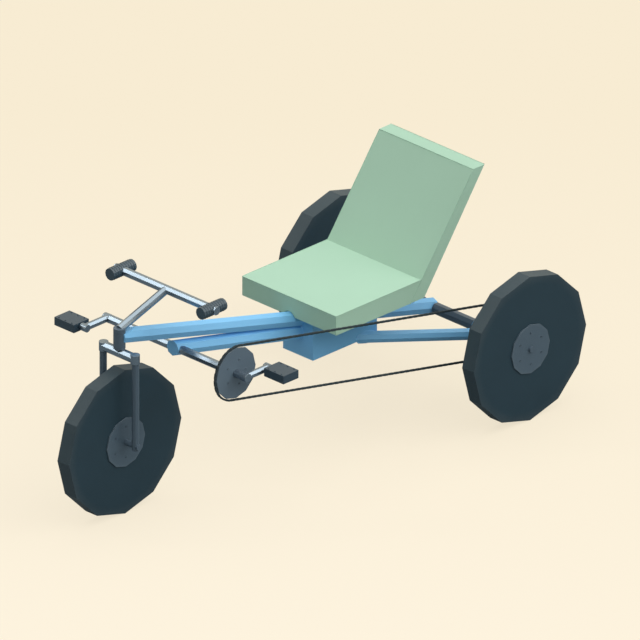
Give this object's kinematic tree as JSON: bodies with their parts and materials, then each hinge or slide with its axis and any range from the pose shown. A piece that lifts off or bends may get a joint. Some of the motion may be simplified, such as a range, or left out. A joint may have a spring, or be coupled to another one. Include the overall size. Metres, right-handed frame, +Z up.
{
  "type": "recumbent trike",
  "caption": "Pedal trike with a steered front wheel, a padded leaning seat low over the frame, pedals ahead of the seat and a long chain to a live rear axle.",
  "frame": {"origin": "on the ground, midway between the front and rear axles on the centre plane", "axes": "+X forwards, +Y to the rider's left (the chain side), +Z up"},
  "size_m": [1.934, 0.9366, 0.825],
  "materials": {
    "frame_paint": "satin light blue paint",
    "seat_fabric": "matt pale green cloth over foam",
    "tyre_rubber": "matt near-black rubber",
    "hub_metal": "satin dark grey",
    "grip_rubber": "matt dark grey rubber",
    "pedal_plastic": "matt dark plastic",
    "chain_steel": "dark oiled steel",
    "bright_steel": "polished dark steel",
    "dark_metal": "satin dark grey"
  },
  "bodies": {
    "frame": {"main_tube": "frame_paint", "crank_tube": "frame_paint", "seat_box": "frame_paint", "seat_pan": "dark_metal", "left_stay": "frame_paint", "right_stay": "frame_paint", "left_axle_bearing": "frame_paint", "right_axle_bearing": "frame_paint", "head_tube": "dark_metal", "back_board": "dark_metal", "back_post": "frame_paint", "seat_cushion": "seat_fabric", "back_cushion": "seat_fabric", "chain": "chain_steel"},
    "fork": {"steerer": "bright_steel", "lower_collar": "dark_metal", "upper_collar": "dark_metal", "fork_crown": "bright_steel", "left_fork_leg": "dark_metal", "right_fork_leg": "dark_metal", "front_axle": "bright_steel", "left_axle_spacer": "dark_metal", "right_axle_spacer": "dark_metal", "left_axle_nut": "dark_metal", "right_axle_nut": "dark_metal", "stem": "bright_steel", "handlebar": "bright_steel", "left_grip": "grip_rubber", "right_grip": "grip_rubber"},
    "front_wheel": {"front_tyre": "tyre_rubber", "front_hub": "hub_metal"},
    "drive_axle": {"rear_axle": "dark_metal", "axle_sprocket": "dark_metal", "left_tyre": "tyre_rubber", "left_hub": "hub_metal", "left_axle_cap": "dark_metal", "right_axle_cap": "dark_metal"},
    "right_wheel": {"right_tyre": "tyre_rubber", "right_hub": "hub_metal"},
    "crank": {"crank_spindle": "bright_steel", "chainring": "dark_metal", "left_crank_arm": "bright_steel", "right_crank_arm": "bright_steel", "left_pedal_pin": "bright_steel", "right_pedal_pin": "bright_steel"},
    "left_pedal": {"left_pedal": "pedal_plastic"},
    "right_pedal": {"right_pedal": "pedal_plastic"}
  },
  "joints": [
    {"name": "steering", "type": "hinge", "parent": "frame", "child": "fork", "pos_m": [0.71, 0, 0.6], "axis": [0, 0, 1], "range_deg": [-45, 45]},
    {"name": "front_wheel_spin", "type": "hinge", "parent": "fork", "child": "front_wheel", "pos_m": [0.71, 0, 0.257], "axis": [0, 1, 0], "continuous": true},
    {"name": "drive_axle_spin", "type": "hinge", "parent": "frame", "child": "drive_axle", "pos_m": [-0.71, 0, 0.257], "axis": [0, 1, 0], "continuous": true},
    {"name": "right_wheel_spin", "type": "hinge", "parent": "drive_axle", "child": "right_wheel", "pos_m": [-0.71, -0.4315, 0.257], "axis": [0, 1, 0], "continuous": true},
    {"name": "crank_spin", "type": "hinge", "parent": "frame", "child": "crank", "pos_m": [0.449, 0, 0.498], "axis": [0, 1, 0], "continuous": true},
    {"name": "left_pedal_spin", "type": "hinge", "parent": "crank", "child": "left_pedal", "pos_m": [0.345, 0.375, 0.498], "axis": [0, 1, 0], "continuous": true},
    {"name": "right_pedal_spin", "type": "hinge", "parent": "crank", "child": "right_pedal", "pos_m": [0.553, -0.375, 0.498], "axis": [0, 1, 0], "continuous": true}
  ],
  "couplings": [
    {"joint": "crank_spin", "follows": "drive_axle_spin", "ratio": 1}
  ]
}
